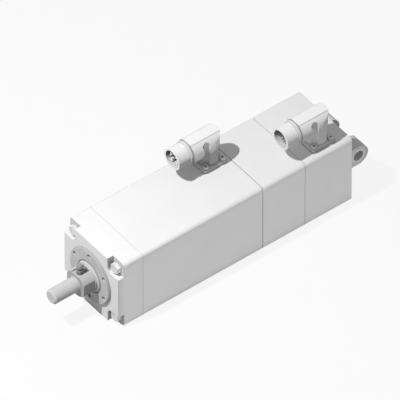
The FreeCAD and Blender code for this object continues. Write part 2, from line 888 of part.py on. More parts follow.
def tie_bolts():
    seat = REAR_FACE - s.tie_bolt_recess
    length = seat - STATOR_END + s.tie_bolt_grip
    bolts = [
        socket_screw((-seat, y, z), "-x", s.tie_bolt_head_radius, s.tie_bolt_head_height,
                     s.tie_bolt_radius, length)
        for y, z in corner_places(TIE_BOLT_OFFSET)
    ]
    named("tie_bolts", group(*bolts))


def clevis_screws():
    seat = REAR_FACE - s.clevis_screw_head_height
    length = seat - PLATE_START + s.clevis_screw_grip
    screws = [
        socket_screw((-seat, y, z), "-x", s.clevis_screw_head_radius,
                     s.clevis_screw_head_height - s.bolt_hole_clearance,
                     s.clevis_screw_radius, length)
        for y, z in corner_places(CLEVIS_SCREW_OFFSET)
    ]
    named("clevis_screws", group(*screws))


# Gland in the front flange, with the parts that guide and seal the rod

def rod_gland():
    front = -s.gland_proud
    collar_start = STATOR_START - s.gland_collar_length
    guide_end = front + s.wiper_length + s.seal_length + s.bush_length
    body = turned("rod_gland", [
        (front, BUSH_RADIUS),
        (guide_end, BUSH_RADIUS),
        (guide_end, ROD_CLEAR_RADIUS + s.gland_relief),
        (STATOR_START, ROD_CLEAR_RADIUS + s.gland_relief),
        (STATOR_START, COLLAR_RADIUS),
        (collar_start, COLLAR_RADIUS),
        (collar_start, s.gland_radius),
        (front + s.rod_edge_chamfer, s.gland_radius),
        (front, s.gland_radius - s.rod_edge_chamfer),
    ])
    circle = s.gland_hole_circle / 2
    hole = round_holes(body, "YZ_Plane", s.gland_proud, [(plain(0), circle)],
                       s.gland_hole_radius, s.gland_hole_depth)
    repeat_turning(body, [hole], s.gland_hole_count)
    return body


def rod_guides():
    front = -s.gland_proud
    seal_start = front + s.wiper_length
    bush_start = seal_start + s.seal_length
    wiper_radius = BUSH_RADIUS - s.wiper_gap
    step = s.wiper_length / 2
    turned("wiper_ring", [
        (seal_start, ROD_CLEAR_RADIUS),
        (seal_start, BUSH_RADIUS),
        (seal_start - step, BUSH_RADIUS),
        (seal_start - step, wiper_radius),
        (front, wiper_radius),
        (front - s.wiper_lip, ROD_CLEAR_RADIUS + s.wiper_gap),
        (front - s.wiper_lip, ROD_CLEAR_RADIUS),
    ])
    lip = s.seal_length / 3
    relief = s.bush_wall / 2
    turned("rod_seal", [
        (seal_start, ROD_CLEAR_RADIUS),
        (seal_start + lip, ROD_CLEAR_RADIUS),
        (seal_start + lip * 2, ROD_CLEAR_RADIUS + relief),
        (bush_start, ROD_CLEAR_RADIUS + relief),
        (bush_start, BUSH_RADIUS),
        (seal_start, BUSH_RADIUS),
    ])
    ring("guide_bush", bush_start, s.bush_length, ROD_CLEAR_RADIUS, BUSH_RADIUS)


# Piston rod and what travels with it

def piston_rod():
    front = -s.rod_reach
    bevel = s.rod_edge_chamfer
    spigot_start = ROD_REAR - s.nut_spigot_length
    stud_end = front + s.stud_thread_depth
    body = turned("piston_rod", [
        (front, s.stud_tail_radius),
        (stud_end, s.stud_tail_radius),
        (stud_end, plain(0)),
        (s.rod_bore_start, plain(0)),
        (s.rod_bore_start, s.rod_bore_radius),
        (spigot_start, s.rod_bore_radius),
        (spigot_start, s.nut_spigot_radius),
        (ROD_REAR, s.nut_spigot_radius),
        (ROD_REAR, s.rod_radius),
        (front + bevel, s.rod_radius),
        (front, s.rod_radius - bevel),
    ])
    flats = new_sketch(body, "YZ_Plane", s.rod_reach)
    edge = s.rod_flats / 2
    far = s.rod_radius + 1
    draw_rectangle(flats, (edge, -far), (far, far))
    draw_rectangle(flats, (-far, -far), (-edge, far))
    add_pocket(body, flats, s.rod_flat_length)
    slot = new_sketch(body, "YZ_Plane", s.rod_reach)
    draw_rectangle(slot, (-s.slot_width / 2, s.slot_floor), (s.slot_width / 2, far))
    add_pocket(body, slot, s.rod_flat_length)
    round_holes(body, "XY_Plane", s.slot_floor, [(s.nipple_reach, plain(0))],
                s.nipple_thread_radius, s.nipple_thread_depth)
    return body


def rod_stud():
    front = -s.rod_reach
    tip = front - s.stud_length
    tail_end = front + s.stud_thread_depth
    turned("rod_stud", [
        (tip, plain(0)),
        (tail_end, plain(0)),
        (tail_end, s.stud_tail_radius),
        (front, s.stud_tail_radius),
        (front, s.stud_radius),
        (tip + s.stud_chamfer, s.stud_radius),
        (tip, s.stud_radius - s.stud_chamfer),
    ])


def grease_nipple():
    def at(height):
        return (s.nipple_reach, plain(0), height)

    hex_top = s.slot_floor + s.nipple_hex_height
    neck_top = hex_top + s.nipple_neck_height
    cone_height = s.nipple_head_height / 3
    pieces = [
        cylinder(s.nipple_thread_radius, s.nipple_thread_depth, at(s.slot_floor), "-z"),
        hexagon(s.nipple_flats, s.nipple_hex_height, at(s.slot_floor)),
        cylinder(s.nipple_neck_radius, s.nipple_neck_height, at(hex_top)),
        cylinder(s.nipple_head_radius, s.nipple_head_height - cone_height, at(neck_top)),
        cone(s.nipple_head_radius, s.nipple_neck_radius, cone_height,
             at(neck_top + s.nipple_head_height - cone_height)),
    ]
    named("grease_nipple", fused(*pieces))


def screw_nut():
    bore = s.screw_radius + s.running_clearance
    bevel = s.rod_edge_chamfer
    turned("screw_nut", [
        (ROD_REAR - s.nut_spigot_length, bore),
        (NUT_END, bore),
        (NUT_END, NUT_RADIUS - bevel),
        (NUT_END - bevel, NUT_RADIUS),
        (ROD_REAR + bevel, NUT_RADIUS),
        (ROD_REAR, NUT_RADIUS - bevel),
        (ROD_REAR, s.nut_spigot_radius),
        (ROD_REAR - s.nut_spigot_length, s.nut_spigot_radius),
    ])


# Rotor and screw, which spin as one

def rotor_sleeve():
    start = STATOR_START + s.rotor_front_gap
    ring("rotor_sleeve", start, HUB_END - s.rotor_hub_collar - start,
         ROTOR_BORE, ROTOR_RADIUS)


def drive_screw():
    collar_start = HUB_END - s.rotor_hub_collar
    tail_start = BEARING_SEAT_END + s.lock_nut_length
    bevel = s.rod_edge_chamfer
    turned("drive_screw", [
        (s.screw_front, plain(0)),
        (tail_start + s.tail_length, plain(0)),
        (tail_start + s.tail_length, s.tail_radius),
        (tail_start, s.tail_radius),
        (tail_start, s.journal_radius),
        (BEARING_SEAT_START, s.journal_radius),
        (BEARING_SEAT_START, s.journal_shoulder_radius),
        (HUB_END, s.journal_shoulder_radius),
        (HUB_END, ROTOR_RADIUS),
        (collar_start, ROTOR_RADIUS),
        (collar_start, ROTOR_BORE),
        (HUB_START, ROTOR_BORE),
        (HUB_START, s.screw_radius),
        (s.screw_front + bevel, s.screw_radius),
        (s.screw_front, s.screw_radius - bevel),
    ])


def rotor_magnets():
    """Curved magnets with gaps between them, one sector outline repeated about the axis."""
    body = new_body("rotor_magnets")
    body.AllowCompound = True
    sketch = new_sketch(body, "YZ_Plane", -CORE_START)
    half_angle = (plain(FULL_TURN) / s.magnet_count - s.magnet_gap_angle) / 2
    draw_sector(sketch, ROTOR_RADIUS, MAGNET_RADIUS, half_angle)
    pad = add_pad(body, sketch, s.core_length, reverse=True)
    repeat_turning(body, [pad], s.magnet_count)
    return body


def draw_sector(sketch, inner, outer, half_angle):
    """An arched strip, even about the sketch's vertical axis."""
    spread = math.radians(number_of(half_angle))
    middle = math.radians(QUARTER_TURN)
    centre = FreeCAD.Vector()
    normal = FreeCAD.Vector(0, 0, 1)
    for radius in (inner, outer):
        circle = Part.Circle(centre, normal, number_of(radius))
        sketch.addGeometry(Part.ArcOfCircle(circle, middle - spread, middle + spread), False)
    arcs = sketch.Geometry
    sketch.addGeometry(Part.LineSegment(arcs[0].StartPoint, arcs[1].StartPoint), False)
    sketch.addGeometry(Part.LineSegment(arcs[0].EndPoint, arcs[1].EndPoint), False)
    sketch.addConstraint(Sketcher.Constraint("Coincident", 0, 3, -1, 1))
    sketch.addConstraint(Sketcher.Constraint("Coincident", 1, 3, -1, 1))
    sketch.addConstraint(Sketcher.Constraint("Coincident", 2, 1, 0, 1))
    sketch.addConstraint(Sketcher.Constraint("Coincident", 2, 2, 1, 1))
    sketch.addConstraint(Sketcher.Constraint("Coincident", 3, 1, 0, 2))
    sketch.addConstraint(Sketcher.Constraint("Coincident", 3, 2, 1, 2))
    for arc, radius in ((0, inner), (1, outer)):
        across = radius * half_angle.sine()
        fix_point(sketch, arc, 1, (across, radius * half_angle.cosine()))
        fix_distance(sketch, "DistanceX", arc, 2, -across)


class RollerRow:
    """One row of rollers: its middle, its size and the tilt of its axis towards the rear."""

    def __init__(self, start, width, inner, outer, tilt=plain(0), taper=plain(0), sense=1):
        self.start = start
        self.end = start + width
        self.inner = inner
        self.outer = outer
        self.middle = start + width / 2
        self.pitch = (inner + outer) / 2
        self.radius = (outer - inner) * s.roller_share / 2
        self.half_length = width * s.roller_length_share / 2
        self.tilt = tilt
        self.taper = taper
        self.sense = sense

    def point(self, along, across):
        """A (station, radius) point from its distances along and across the roller's axis."""
        station = along * self.tilt.cosine() - across * self.tilt.sine()
        radius = along * self.tilt.sine() + across * self.tilt.cosine()
        return self.middle + station * self.sense, self.pitch + radius

    def race(self, side, station):
        """Radius of the inner (-1) or outer (1) raceway at a station."""
        middle, radius = self.point(plain(0), (self.radius + s.running_clearance) * side)
        slope = self.tilt + self.taper * side
        rise = slope.sine() / slope.cosine()
        return radius + (station - middle) * rise * self.sense

    def ring_body(self, label, side, seat):
        turned(label, [
            (self.start, seat),
            (self.end, seat),
            (self.end, self.race(side, self.end)),
            (self.start, self.race(side, self.start)),
        ])


def bearing(name, row, count):
    """Inner ring, outer ring and rollers of one row, each in a node of its own."""
    row.ring_body(f"{name}_inner_ring", -1, row.inner)
    row.ring_body(f"{name}_outer_ring", 1, row.outer)
    body = new_body(f"{name}_rollers")
    body.AllowCompound = True
    growth = row.half_length * row.taper.sine()
    corners = (
        (-row.half_length, plain(0)),
        (row.half_length, plain(0)),
        (row.half_length, row.radius + growth),
        (-row.half_length, row.radius - growth),
    )
    sketch = new_sketch(body, "XZ_Plane")
    points = [row.point(along, across) for along, across in corners]
    draw_polygon(sketch, [(-station, radius) for station, radius in points])
    roller = body.newObject("PartDesign::Revolution", "Revolution")
    roller.Profile = sketch
    roller.ReferenceAxis = (sketch, ["Edge1"])
    roller.Angle = FULL_TURN
    settle(roller)
    repeat_turning(body, [roller], count)


def bearings():
    front_start = STATOR_START + s.rotor_front_gap / 2
    front_width = s.front_bearing_width - s.rotor_front_gap / 2
    front_row = RollerRow(front_start, front_width, ROTOR_RADIUS, FRONT_BEARING_RADIUS)
    bearing("front_bearing", front_row, s.front_roller_count)
    for name, start, sense in (
        ("thrust_bearing_front", BEARING_SEAT_START, 1),
        ("thrust_bearing_rear", BEARING_SEAT_START + s.rear_bearing_width, -1),
    ):
        row = RollerRow(start, s.rear_bearing_width, s.journal_radius, REAR_BEARING_RADIUS,
                        s.rear_roller_tilt, s.rear_roller_taper, sense)
        bearing(name, row, s.rear_roller_count)
    ring("bearing_lock_nut", BEARING_SEAT_END, s.lock_nut_length,
         s.journal_radius, s.journal_radius + s.lock_nut_wall)
    ring("bearing_retainer", BEARING_SEAT_END, s.retainer_length,
         REAR_BEARING_RADIUS - s.retainer_lip, REAR_CAVITY)


# Stator core, windings and resolver

def stator_core():
    body = new_body("stator_core")
    add_turn(body, "PartDesign::Revolution",
             ring_outline(CORE_START, CORE_END, CORE_BORE, STATOR_BORE))
    slot = new_sketch(body, "YZ_Plane", -CORE_START)
    mouth = s.slot_opening / 2
    slot_floor = STATOR_BORE - s.back_iron
    shoulder = CORE_BORE + s.tooth_depth
    width = s.slot_half_width
    floor_width = s.slot_floor_half_width
    draw_polygon(slot, [
        (-mouth, CORE_BORE - 1),
        (mouth, CORE_BORE - 1),
        (mouth, shoulder),
        (width, shoulder + s.tooth_depth),
        (floor_width, slot_floor),
        (-floor_width, slot_floor),
        (-width, shoulder + s.tooth_depth),
        (-mouth, shoulder),
    ])
    pocket = add_pocket(body, slot, s.core_length + 1)
    repeat_turning(body, [pocket], s.slot_count)
    return body


def windings():
    edge = s.winding_edge
    inner = MAGNET_RADIUS + s.winding_gap
    outer = STATOR_BORE - s.winding_clearance
    for label, start in (
        ("front_winding", CORE_START - s.winding_length),
        ("rear_winding", CORE_END),
    ):
        end = start + s.winding_length
        turned(label, [
            (start, inner + edge),
            (start + edge, inner),
            (end - edge, inner),
            (end, inner + edge),
            (end, outer - edge),
            (end - edge, outer),
            (start + edge, outer),
            (start, outer - edge),
        ])


def resolver():
    start = BEARING_END + s.resolver_inset
    ring("resolver_rotor", start, s.resolver_length, s.tail_radius, s.resolver_rotor_radius)
    ring("resolver_stator", start, s.resolver_length,
         s.resolver_rotor_radius + s.resolver_gap, RESOLVER_RADIUS)
    bracket_start = start + (s.resolver_length - s.resolver_bracket_length) / 2
    ring("resolver_bracket", bracket_start, s.resolver_bracket_length,
         RESOLVER_RADIUS, COVER_CAVITY)


# Angled connectors

def connector(name, station, side, insert_depth, contacts):
    """One angled receptacle that swivels on a square base screwed to the top face."""
    x, y = -station, side
    front = x + s.connector_reach
    connector_base(name, x, y)
    connector_screws(name, x, y)
    connector_elbow(name, x, y, front)
    connector_swivel_ring(name, x, y)
    connector_barrel(name, y, front)
    connector_insert(name, y, front, insert_depth, contacts)


def connector_base(name, x, y):
    for part, bottom, height in (
        ("gasket", HALF, s.gasket_height),
        ("base", BASE_BOTTOM, s.connector_base_height),
    ):
        body = new_body(f"{name}_{part}")
        half = s.connector_base_width / 2
        sketch = new_sketch(body, "XY_Plane", bottom)
        draw_rectangle(sketch, (x - half, y - half), (x + half, y + half))
        add_pad(body, sketch, height)
        fillet(body, s.connector_base_radius, lambda edge: runs_along(edge, "z"))
        bore = s.spigot_radius + s.running_clearance
        if part == "gasket":
            bore = s.swivel_ring_radius + s.elbow_gap
        top = bottom + height
        round_holes(body, "XY_Plane", top, [(x, y)], bore, height + 1)
        centres = [(x + dx, y + dy) for dx, dy in screw_offsets()]
        hole = s.connector_screw_radius + s.bolt_hole_clearance / 2
        round_holes(body, "XY_Plane", top, centres, hole, height + 1)


def connector_screws(name, x, y):
    length = BASE_TOP - HALF + s.connector_screw_grip
    screws = [
        socket_screw((x + dx, y + dy, BASE_TOP), "+z", s.connector_screw_head_radius,
                     s.connector_screw_head_height, s.connector_screw_radius, length)
        for dx, dy in screw_offsets()
    ]
    named(f"{name}_screws", group(*screws))


def connector_elbow(name, x, y, front):
    """Crossing cylinders: a horizontal housing with a flat roof that turns down into a post."""
    face = front - s.elbow_front
    length = s.connector_reach - s.elbow_front
    bottom = BASE_TOP + s.elbow_gap
    roof = AXIS_HEIGHT + s.elbow_roof
    tube = cylinder(s.elbow_radius, length, (face, y, AXIS_HEIGHT), "-x")
    rear_tube = cylinder(s.elbow_radius, s.elbow_radius, (x, y, AXIS_HEIGHT), "-x")
    corner = cylinder(s.elbow_corner_radius, s.elbow_radius * 2,
                      (x, y, AXIS_HEIGHT - s.elbow_radius))
    rear = common(rear_tube, corner)
    post = cylinder(s.post_radius, AXIS_HEIGHT - bottom, (x, y, bottom))
    spigot = cylinder(s.spigot_radius, bottom - HALF + s.spigot_depth, (x, y, bottom), "-z")
    solid = fused(tube, rear, post, spigot)
    span = s.connector_reach * 2
    above = block(span, span, s.elbow_radius, (x - span / 2, y - span / 2, roof))
    bore = cylinder(s.elbow_bore_radius, s.elbow_bore_length, (face, y, AXIS_HEIGHT), "-x")
    passage_start = face - s.elbow_bore_length
    passage = cylinder(s.wire_radius, passage_start - x, (passage_start, y, AXIS_HEIGHT), "-x")
    drop = cylinder(s.wire_radius, s.connector_axis_height + s.spigot_depth + 1,
                    (x, y, AXIS_HEIGHT), "-z")
    turn = ball(s.wire_radius, (x, y, AXIS_HEIGHT))
    scallops = []
    reach = s.connector_axis_height + s.scallop_top
    for dx, dy in screw_offsets():
        top = (x + dx, y + dy, AXIS_HEIGHT + s.scallop_top)
        scallops.append(cylinder(s.scallop_radius, reach, top, "-z"))
        scallops.append(ball(s.scallop_radius, top))
    elbow = cut(solid, above, bore, passage, drop, turn, *scallops)
    named(f"{name}_elbow", elbow)


def connector_swivel_ring(name, x, y):
    bottom = HALF - s.swivel_ring_height - s.elbow_gap
    outer = cylinder(s.swivel_ring_radius, s.swivel_ring_height, (x, y, bottom))
    inner = cylinder(s.spigot_radius, s.swivel_ring_height + 2, (x, y, bottom - 1))
    named(f"{name}_swivel_ring", cut(outer, inner))


def connector_turned(label, y, outline):
    """A turned piece on the connector's own horizontal axis; points are (x, radius)."""
    body = new_body(label)
    sketch = new_sketch(body, "XZ_Plane", -y)
    draw_polygon(sketch, [(x, AXIS_HEIGHT + radius) for x, radius in outline])
    centre = sketch.addGeometry(Part.LineSegment(
        FreeCAD.Vector(0, AXIS_HEIGHT.number, 0),
        FreeCAD.Vector(10, AXIS_HEIGHT.number, 0)), True)
    fix_point(sketch, centre, 1, (plain(0), AXIS_HEIGHT))
    fix_point(sketch, centre, 2, (plain(10), AXIS_HEIGHT))
    feature = body.newObject("PartDesign::Revolution", "Revolution")
    feature.Profile = sketch
    feature.ReferenceAxis = (sketch, ["Axis0"])
    feature.Angle = FULL_TURN
    settle(feature)
    return body


def connector_barrel(name, y, front):
    rim_radius = s.barrel_radius + s.barrel_rim
    rim_end = front - s.barrel_rim_length
    collar_start = front - s.collar_start
    collar_end = front - s.elbow_front + s.collar_gap
    tail_end = front - s.elbow_front - s.elbow_bore_length + s.collar_gap
    insert_bore = s.barrel_bore_radius
    connector_turned(f"{name}_barrel", y, [
        (front, insert_bore),
        (front, rim_radius),
        (rim_end, rim_radius),
        (rim_end, s.barrel_radius),
        (collar_end, s.barrel_radius),
        (collar_end, s.elbow_bore_radius),
        (tail_end, s.elbow_bore_radius),
        (tail_end, insert_bore),
    ])
    connector_turned(f"{name}_collar", y, [
        (collar_start, s.barrel_radius),
        (collar_start, s.collar_radius - s.barrel_rim),
        (collar_start - s.barrel_rim, s.collar_radius),
        (collar_end, s.collar_radius),
        (collar_end, s.barrel_radius),
    ])


def connector_insert(name, y, front, insert_depth, contacts):
    insert_front = front - insert_depth
    body = new_body(f"{name}_insert")
    sketch = new_sketch(body, "YZ_Plane", insert_front)
    draw_circle(sketch, (y, AXIS_HEIGHT), s.barrel_bore_radius - s.insert_clearance)
    add_pad(body, sketch, s.insert_length, reverse=True)
    pins = []
    for radius, circle, angle in contacts:
        py = y + circle * angle.sine()
        pz = AXIS_HEIGHT + circle * angle.cosine()
        round_holes(body, "YZ_Plane", insert_front, [(py, pz)], radius, s.insert_length + 1)
        length = s.contact_length + s.insert_length + s.contact_tail
        pins.append(cylinder(radius, length, (insert_front + s.contact_length, py, pz), "-x"))
    named(f"{name}_contacts", group(*pins))


def power_contacts():
    """Four large contacts with a small one between each pair."""
    contacts = []
    for index in range(4):
        angle = plain(QUARTER_TURN * index + QUARTER_TURN / 2)
        between = plain(QUARTER_TURN * index)
        contacts.append((s.power_contact_radius, s.power_contact_circle, angle))
        contacts.append((s.small_contact_radius, s.power_contact_circle, between))
    return contacts


def signal_contacts():
    count = SIZES["signal_contact_count"]
    return [
        (s.small_contact_radius, s.signal_contact_circle, plain(FULL_TURN * index / count))
        for index in range(count)
    ]


def build_all():
    front_flange()
    stator_housing()
    bearing_housing()
    rear_cover()
    seal_rings()
    rear_clevis()
    clevis_bushes()
    flange_bolts()
    tie_bolts()
    clevis_screws()
    rod_gland()
    rod_guides()
    piston_rod()
    rod_stud()
    grease_nipple()
    screw_nut()
    rotor_sleeve()
    drive_screw()
    rotor_magnets()
    bearings()
    stator_core()
    windings()
    resolver()
    connector("power_connector", POWER_STATION, -CONNECTOR_SIDE,
              s.power_insert_depth, power_contacts())
    connector("signal_connector", SIGNAL_STATION, CONNECTOR_SIDE,
              s.signal_insert_depth, signal_contacts())
    doc.recompute()


def used_by_another(item):
    return any(not user.isDerivedFrom("App::DocumentObjectGroup") for user in item.InList)


def finished_parts():
    """The bodies, and the solids that no other object of the document uses."""
    for item in doc.Objects:
        if item.isDerivedFrom("PartDesign::Body"):
            yield item
        elif item.isDerivedFrom("PartDesign::Feature") or not hasattr(item, "Shape"):
            continue
        elif item.isDerivedFrom("Sketcher::SketchObject") or item.TypeId.startswith("App::"):
            continue
        elif not used_by_another(item):
            yield item


def check_document():
    for item in doc.Objects:
        if "Invalid" in item.State or "Error" in item.State:
            raise RuntimeError(f"{item.Label} failed: {item.State}")


def write_parts():
    os.makedirs(OUT_DIR, exist_ok=True)
    parts = list(finished_parts())
    for part in parts:
        if part.Shape.isNull() or not part.Shape.isValid():
            raise RuntimeError(f"{part.Label} has no valid shape")
    for part in parts:
        part.Shape.exportStep(os.path.join(OUT_DIR, f"{part.Label}.step"))
        print(part.Label, len(part.Shape.Solids), round(part.Shape.Volume, 1))


build_all()
check_document()
write_parts()
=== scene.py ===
import math

import bpy
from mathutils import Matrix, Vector


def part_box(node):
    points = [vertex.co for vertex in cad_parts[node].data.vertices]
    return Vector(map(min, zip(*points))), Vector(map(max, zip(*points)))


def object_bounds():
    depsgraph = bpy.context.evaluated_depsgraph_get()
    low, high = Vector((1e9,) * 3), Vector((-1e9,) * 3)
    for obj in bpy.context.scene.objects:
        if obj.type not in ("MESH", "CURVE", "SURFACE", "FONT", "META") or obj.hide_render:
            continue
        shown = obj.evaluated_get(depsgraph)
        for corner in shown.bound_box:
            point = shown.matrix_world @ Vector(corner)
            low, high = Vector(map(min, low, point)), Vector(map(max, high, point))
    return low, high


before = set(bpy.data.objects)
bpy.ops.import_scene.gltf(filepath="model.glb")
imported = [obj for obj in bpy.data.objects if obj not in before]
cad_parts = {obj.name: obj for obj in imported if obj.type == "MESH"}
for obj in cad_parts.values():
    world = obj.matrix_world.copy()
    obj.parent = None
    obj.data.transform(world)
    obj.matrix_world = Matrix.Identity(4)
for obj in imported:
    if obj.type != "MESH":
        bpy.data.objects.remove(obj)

MM = 0.001
CAD_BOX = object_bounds()

# The photograph looks down from in front of the rod end and from the +Y side, along parallel
# lines; a long lens comes close to it
CAMERA_AZIMUTH = math.radians(141.92)
CAMERA_ELEVATION = math.radians(45.0)
CAMERA_TARGET = Vector((-0.13437, -0.00018, 0.0200))
FRAME_WIDTH = 0.3899
SENSOR_WIDTH_MM = 36.0
LENS_MM = 1400.0

# World: the grey that it shows to the camera, and its light on the object
BACKDROP_GREY = 0.965
AMBIENT = 0.33

# Floor: its glow to the eye, the share of it that takes shadows, its size and its own grey
FLOOR_GLOW = 1.17
FLOOR_SHADE_SHARE = 0.25
FLOOR_SIZE = 6.0
FLOOR_LEVEL = 0.30
WHITE = (1.0, 1.0, 1.0, 1.0)

# Key lamp high in front of the rod end, a little on the -Y side of the rod's line
KEY_PLACE = Vector((1.163, -0.185, 2.40))
KEY_TARGET = Vector((0.40, 0.0, 0.0))
KEY_SIZE = 0.06
KEY_SPREAD = math.radians(60.0)
KEY_POWER = 8.95

# Fill lamp level with the housing on its visible long side; its grid keeps the light off the rest
FILL_DISTANCE = 1.2
FILL_SPREAD = math.radians(1.0)
FILL_POWER = 0.0235

# Painted shade: its reach from a corner, and its grey, which the housing's joint lines share
CORNER_REACH = 2.2 * MM
SHADE_AND_JOINT_GREY = 0.04
JOINT_HALF_WIDTH = 0.45 * MM

# How softly painted shade and joint lines end: at an edge, along a line, on the rod's slot floor,
# down a hole, at the slot's ends, and beside a line at a station as a share of its half width
EDGE_FADE = 0.1 * MM
LINE_FADE = 0.15 * MM
SLOT_FADE = 0.2 * MM
HOLE_FADE = 0.3 * MM
SLOT_END_FADE = 0.5 * MM
STATION_FADE_SHARE = 0.6

# Places on the CAD model that the finishes follow, each pair as low and high
ROD_AXIS = (1.0, 0.0, 0.0)
ORIGIN = (0.0, 0.0, 0.0)
GLAND_RIM = 30.3 * MM
WIPER_RIM = 17.7 * MM
WIPER_GAP = (WIPER_RIM, WIPER_RIM + 0.7 * MM)
WIPER_LIP = (WIPER_RIM - 0.6 * MM, WIPER_RIM)
GLAND_FACE = 2.7 * MM
HOLE_RING = (23.7 * MM, 29.3 * MM)
HOLE_DEPTH = 12.0 * MM
MOUTH_INSET = 0.5 * MM
NOTCH_START = 25.6 * MM
NOTCH_END = 60.0 * MM
NOTCH_DEPTH = 7.3 * MM
NOTCH_FRONT = 0.3 * MM
SLOT_LENGTH = (-5.0 * MM, 10.5 * MM)
SLOT_HALF_WIDTH = 8.0 * MM
SLOT_FLOOR = (11.0 * MM, 12.6 * MM)
BARREL_BORE = 9.95 * MM

# Painted shade on a connector: greyer walls up to about the barrel's line, and a dark line
# between two distances below the roof
SKIRT_DROP = 8.0 * MM
SKIRT_RISE = 1.0 * MM
ROOF_LINE = (0.7 * MM, 0.25 * MM)

# Painted shade round the elbow's front edge and on the barrel in front of it, these as a distance
# from that edge and half a width
ELBOW_JOINT_HALF_WIDTH = 0.4 * MM
COLLAR_JOINT = (0.6 * MM, 0.4 * MM)
COLLAR_BAND = (1.5 * MM, 2.0 * MM)

# Where shade is painted on the grease nipple: its seat and neck, as shares of its height
NIPPLE_SEAT = 0.32
NIPPLE_NECK = (0.56, 0.68)

# Textures: cells per metre, how rough the noise is, how bright the plating's dull patches are,
# and the depths of relief
CLOUD_SCALE = 22.0
SATIN_SCALE = 420.0
SKIN_SCALE = 1500.0
STAIN_SCALE = 60.0
RUBBER_SCALE = 900.0
FLOW_SCALE = 160.0
MOULD_SCALE = 2600.0
PLATING_SCALE = 340.0
WEAR_SCALE = 300.0
FLOOR_SCALE = 30.0
NOISE_ROUGHNESS = 0.6
DULL_PATCH_SHARE = 0.86
FINE_RELIEF = 0.02 * MM
RUBBER_RELIEF = 0.05 * MM
LAYER_RELIEF = 0.1 * MM

# Radius of the broken edges
PAINT_EDGE = 0.15 * MM
TURNED_EDGE = 0.2 * MM
PLATED_EDGE = 0.15 * MM
MOULDED_EDGE = 0.1 * MM

# Pitch of the lathe marks and of the layers in wound and stacked pieces
GROUND_PITCH = 0.35 * MM
GLAND_PITCH = 0.8 * MM
ROD_PITCH = 0.2 * MM
STUD_PITCH = 0.5 * MM
BARREL_PITCH = 0.4 * MM
WIRE_PITCH = 0.8 * MM
LAMINATION_PITCH = 0.5 * MM
WIRE_AXIS = (0.0, 0.7, 0.7)

# Copper wire's two colours, and how much darker a connector's base plate is than its elbow, as
# painted shade
COPPER_LIGHT = (0.66, 0.36, 0.2)
COPPER_DARK = (0.42, 0.2, 0.1)
PLATE_SHADE_STEP = 0.12


# Node helpers

def new_material(name):
    material = bpy.data.materials.new(name)
    material.use_nodes = True
    tree = material.node_tree
    return material, tree, tree.nodes["Principled BSDF"]


def add_node(tree, kind, **values):
    node = tree.nodes.new(kind)
    for name, value in values.items():
        setattr(node, name, value)
    return node


def set_inputs(node, **values):
    for name, value in values.items():
        node.inputs[name.replace("_", " ")].default_value = value
    return node


def link_inputs(node, **sources):
    for name, source in sources.items():
        node.id_data.links.new(source, node.inputs[name.replace("_", " ")])
    return node


def feed(socket, value):
    """Give a socket a value, or link it to another socket."""
    if isinstance(value, bpy.types.NodeSocket):
        socket.id_data.links.new(value, socket)
    else:
        socket.default_value = value


def maths(tree, operation, *values):
    node = add_node(tree, "ShaderNodeMath", operation=operation)
    for socket, value in zip(node.inputs, values):
        feed(socket, value)
    return node.outputs[0]


def vector_maths(tree, operation, *values):
    node = add_node(tree, "ShaderNodeVectorMath", operation=operation)
    for socket, value in zip(node.inputs, values):
        feed(socket, value)
    return node.outputs


def multiply(tree, first, second):
    return maths(tree, "MULTIPLY", first, second)


def magnitude(tree, value):
    return maths(tree, "ABSOLUTE", value)


def sine_wave(tree, value, pitch):
    return maths(tree, "SINE", multiply(tree, value, 2 * math.pi / pitch))


def place_coordinates(tree):
    return tree.nodes.new("ShaderNodeTexCoord").outputs["Object"]


def split(tree, vector):
    return link_inputs(add_node(tree, "ShaderNodeSeparateXYZ"), Vector=vector).outputs


def place_parts(tree):
    """X, Y and Z of the place in the object's own space."""
    return split(tree, place_coordinates(tree))


def normal_parts(tree):
    """X, Y and Z of the direction that the surface faces in the object's own space."""
    return split(tree, tree.nodes.new("ShaderNodeTexCoord").outputs["Normal"])


def noise(tree, scale, detail):
    """Noise in the object's own space; scale is in cells per metre."""
    texture = add_node(tree, "ShaderNodeTexNoise")
    set_inputs(texture, Scale=scale, Detail=detail, Roughness=NOISE_ROUGHNESS)
    return link_inputs(texture, Vector=place_coordinates(tree)).outputs["Fac"]


def to_range(tree, source, low, high, start=0.3, end=0.7):
    """Low at the start and high at the end; the usual start and end are a noise's own range."""
    node = add_node(tree, "ShaderNodeMapRange")
    set_inputs(node, From_Min=start, From_Max=end, To_Min=low, To_Max=high)
    return link_inputs(node, Value=source).outputs["Result"]


def blend_colors(tree, factor, first, second):
    node = add_node(tree, "ShaderNodeMix", data_type="RGBA")
    feed(node.inputs["Factor"], factor)
    for socket, color in ((node.inputs[6], first), (node.inputs[7], second)):
        feed(socket, (*color, 1.0) if isinstance(color, tuple) else color)
    return node.outputs[2]


def grey(level, warm=0.0):
    """A neutral colour, a little warmer where asked."""
    return (level * (1 + warm), level, level * (1 - warm))


def cloudy_grey(tree, texture, level, darker, lighter):
    """Grey that wanders with a texture, from a step below its level to a step above it."""
    return blend_colors(tree, to_range(tree, texture, 0.0, 1.0), grey(level - darker),
                        grey(level + lighter))


def bump(tree, height, distance, strength, base=None):
    node = add_node(tree, "ShaderNodeBump")
    set_inputs(node, Strength=strength, Distance=distance)
    link_inputs(node, Height=height)
    if base is not None:
        link_inputs(node, Normal=base)
    return node.outputs["Normal"]


def soft_edges(tree, radius):
    """Normals that round an edge off, as a broken machined edge is."""
    node = add_node(tree, "ShaderNodeBevel", samples=6)
    return set_inputs(node, Radius=radius).outputs["Normal"]


